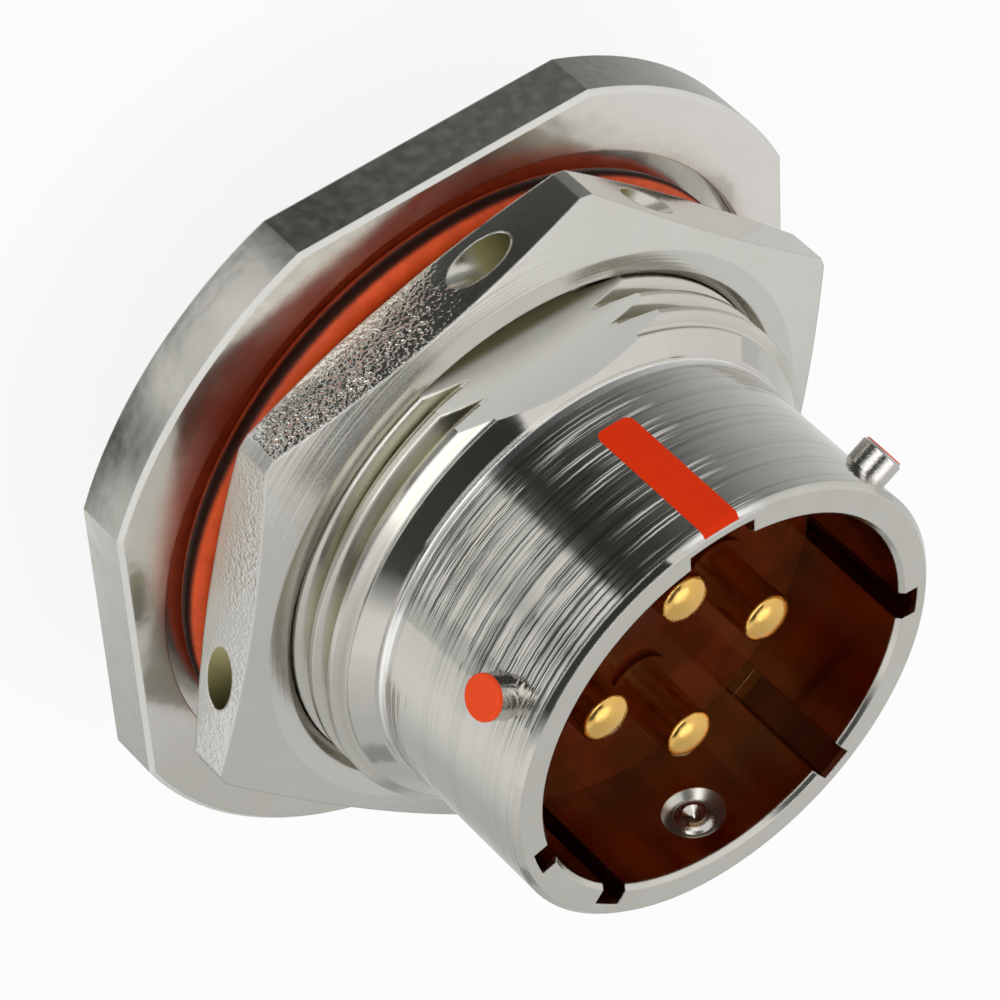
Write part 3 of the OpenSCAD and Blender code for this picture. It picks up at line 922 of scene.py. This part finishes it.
stripe_red = gloss_red("gloss_red_paint", (0.66, 0.030, 0.002, 1), (0.60, 0.026, 0.001, 1))
print("paint ready:", stripe_red.name)

# %% [markdown]
# ## The red stripe
# A stripe of paint on the barrel shows where the master keyway is, so that the plug can be
# lined up by eye. It could be a patch in the shell's material, but real paint has a thickness
# and an edge. So a line up the barrel and over its bevel is spun through a few degrees, the
# rear corners are rounded by lifting their vertices, and the sheet is given the thickness of
# a coat of paint. Mirrors don't see it, because its red would show in the nut's cone and
# along the barrel, where the real metal shows none.

# %% Paint the stripe
barrel_r = 11.11 * mm
mouth_height = cad_box[1][2]
bevel = 0.26 * mm
coat = 0.035 * mm
stripe_rear = 10.5 * mm
stripe_middle = 14 * mm
stripe_half_width = 0.9 * mm
stripe_half_angle = stripe_half_width / barrel_r
stripe_corner = 0.4 * mm
stripe_steps = 36

shape = bmesh.new()
stripe_line = [(barrel_r, stripe_rear), (barrel_r, stripe_middle), (barrel_r, mouth_height - bevel),
               (barrel_r - bevel, mouth_height - coat)]
spun_strip(shape, stripe_line, math.pi / 2 - stripe_half_angle, math.pi / 2 + stripe_half_angle,
           stripe_steps)
for spot in shape.verts:
    beyond = abs(spot.co.x) - (stripe_half_width - stripe_corner)
    if spot.co.z < stripe_rear + 0.1 * mm and beyond > 0:
        spot.co.z += stripe_corner - math.sqrt(max(stripe_corner ** 2 - beyond ** 2, 0))
bmesh.ops.recalc_face_normals(shape, faces=shape.faces)
if sum(face.normal.y for face in shape.faces) < 0:
    bmesh.ops.reverse_faces(shape, faces=shape.faces)
bmesh.ops.solidify(shape, geom=shape.faces[:], thickness=-coat)
stripe = object_from(shape, "red_stripe", stripe_red)
stripe.visible_glossy = False
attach(stripe, "receptacle")
print("stripe faces:", len(stripe.data.polygons))

# %% [markdown]
# ## Paint on the bayonet pins
# The outer end of each bayonet pin is painted red too, as a mark for the plug's ramps, and
# that paint is a little paler than the stripe's. It could be a patch in the pin's material,
# but a drop of paint has a round edge. So the cone operator, with equal radii, makes a short
# cylinder, its outer edge is bevelled until it is round, and it is laid along X and turned to
# its pin. The right pin has just a thin film of paint, so its cap is small and flat.

# %% Paint the pins' ends
pin_r = 1.0 * mm
pin_end = 12.25 * mm
pin_height = mouth_height - 2.49 * mm
thin_coat = 0.02 * mm
rim_segments = 48
edge_segments = 4
cap_red = gloss_red("cap_red_paint", (0.80, 0.075, 0.018, 1), (0.72, 0.06, 0.014, 1))

def paint_cap(name, degrees, rim, depth, edge):
    """A cap of paint; rim is its radius and edge the size of its bevel."""
    shape = bmesh.new()
    bmesh.ops.create_cone(shape, cap_ends=True, segments=rim_segments, radius1=rim, radius2=rim,
                          depth=depth)
    top = [e for e in shape.edges if all(v.co.z > 0 for v in e.verts)]
    bmesh.ops.bevel(shape, geom=top, offset=edge, segments=edge_segments, profile=0.5,
                    affect="EDGES", material=-1)
    out_to_pin = Matrix.Translation((pin_end + thin_coat - depth / 2, 0, pin_height))
    turn = Matrix.Rotation(math.radians(degrees), 4, "Z")
    lie_down = Matrix.Rotation(math.pi / 2, 4, "Y")
    bmesh.ops.transform(shape, matrix=turn @ out_to_pin @ lie_down, verts=shape.verts)
    cap = object_from(shape, name, cap_red)
    cap.visible_glossy = False
    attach(cap, "receptacle")
    return cap

dipped = dict(rim=pin_r + 0.01 * mm, depth=0.28 * mm, edge=0.16 * mm)
filmed = dict(rim=0.88 * pin_r, depth=0.06 * mm, edge=0.02 * mm)
caps = [paint_cap("paint_cap_left", 150, **dipped), paint_cap("paint_cap_bottom", 270, **dipped),
        paint_cap("paint_cap_right", 30, **filmed)]
print("painted pins:", [cap.name for cap in caps])
